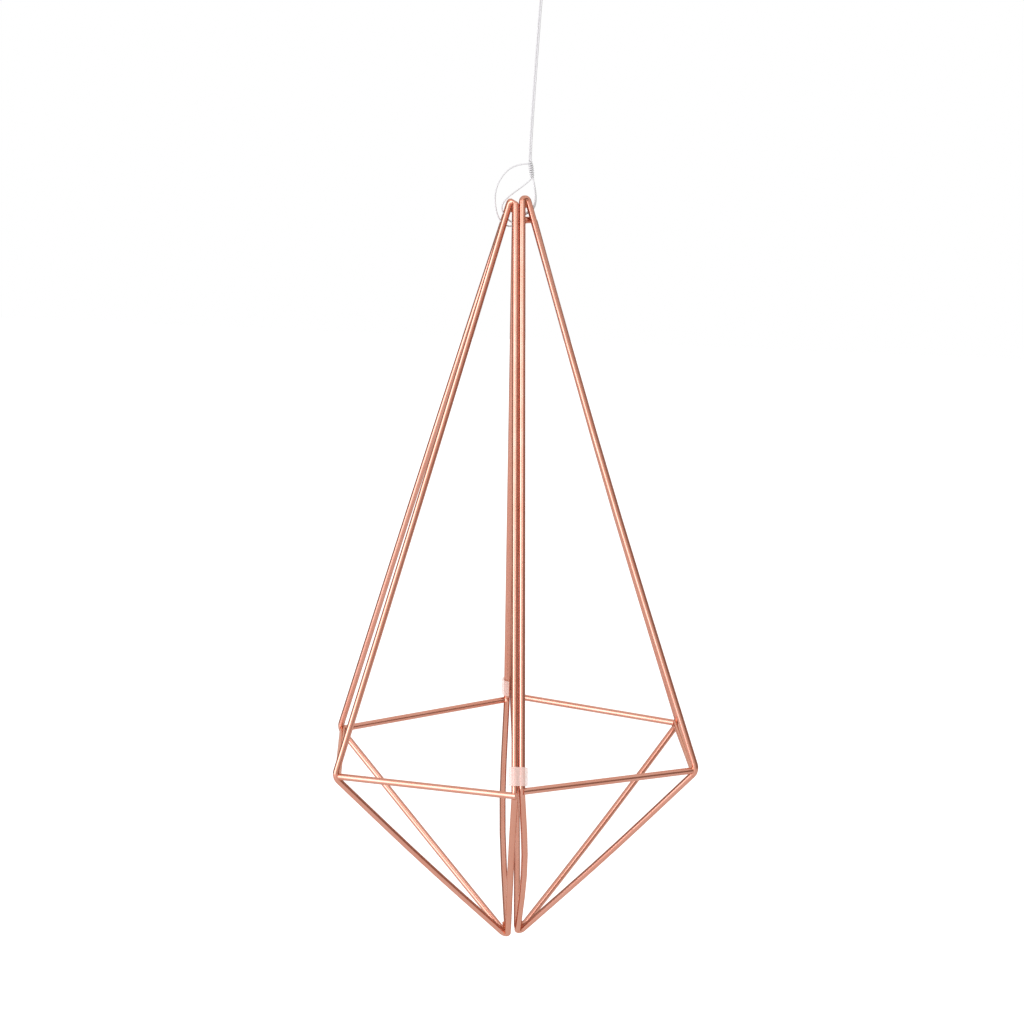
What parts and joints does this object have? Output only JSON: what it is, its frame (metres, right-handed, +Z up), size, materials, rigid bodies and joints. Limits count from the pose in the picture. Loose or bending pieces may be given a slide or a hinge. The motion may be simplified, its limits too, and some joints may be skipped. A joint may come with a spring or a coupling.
{
  "type": "himmeli ornament",
  "caption": "Tall hexagonal double pyramid of copper-plated wire, its half cages held by soft clips, hanging on a knotted nylon thread so that it can swing and turn.",
  "frame": {"origin": "inside of the hanging loop's crown, where the hook bears", "axes": "+Z up and plumb, the ornament's balance point is right under the origin; +Y from the front corner to the back corner, +X to the right seen from the front"},
  "size_m": [0.1229, 0.139, 0.3439],
  "materials": {
    "copper_wire": "satin copper plating on steel wire",
    "soft_clip": "soft translucent plastic",
    "nylon_thread": "clear nylon monofilament"
  },
  "bodies": {
    "hook_loop": {"hanging_loop": "nylon_thread"},
    "knot": {"upper_knot": "nylon_thread"},
    "knot_ends": {"cut_end_front": "nylon_thread", "cut_end_back": "nylon_thread"},
    "ornament": {"riser_left": "nylon_thread", "riser_right": "nylon_thread", "lower_knot": "nylon_thread", "apex_loop_snug": "nylon_thread", "apex_loop_slack": "nylon_thread", "left_front_frame": "copper_wire", "left_back_frame": "copper_wire", "left_front_crossbar": "copper_wire", "left_back_crossbar": "copper_wire", "left_side_bar": "copper_wire", "right_front_frame": "copper_wire", "right_back_frame": "copper_wire", "right_front_crossbar": "copper_wire", "right_back_crossbar": "copper_wire", "right_side_bar": "copper_wire"},
    "front_clip": {"front_clip": "soft_clip"},
    "back_clip": {"back_clip": "soft_clip"}
  },
  "joints": [
    {"name": "swing_sideways", "type": "hinge", "parent": "hook_loop", "child": "knot", "pos_m": [0, 0, -0.014], "axis": [0, 1, 0], "range_deg": [-40, 40]},
    {"name": "swing_forwards", "type": "hinge", "parent": "knot", "child": "knot_ends", "pos_m": [0, 0, -0.014], "axis": [1, 0, 0], "range_deg": [-40, 40]},
    {"name": "turn_on_thread", "type": "hinge", "parent": "knot_ends", "child": "ornament", "pos_m": [0, 0, -0.014], "axis": [0, 0, 1], "continuous": true},
    {"name": "front_clip_slide", "type": "slide", "parent": "ornament", "child": "front_clip", "axis": [-0.0324, 0.3353, 0.9416], "range_m": [0, 0.165]},
    {"name": "back_clip_slide", "type": "slide", "parent": "ornament", "child": "back_clip", "axis": [-0.0324, -0.3352, 0.9416], "range_m": [0, 0.05]}
  ]
}
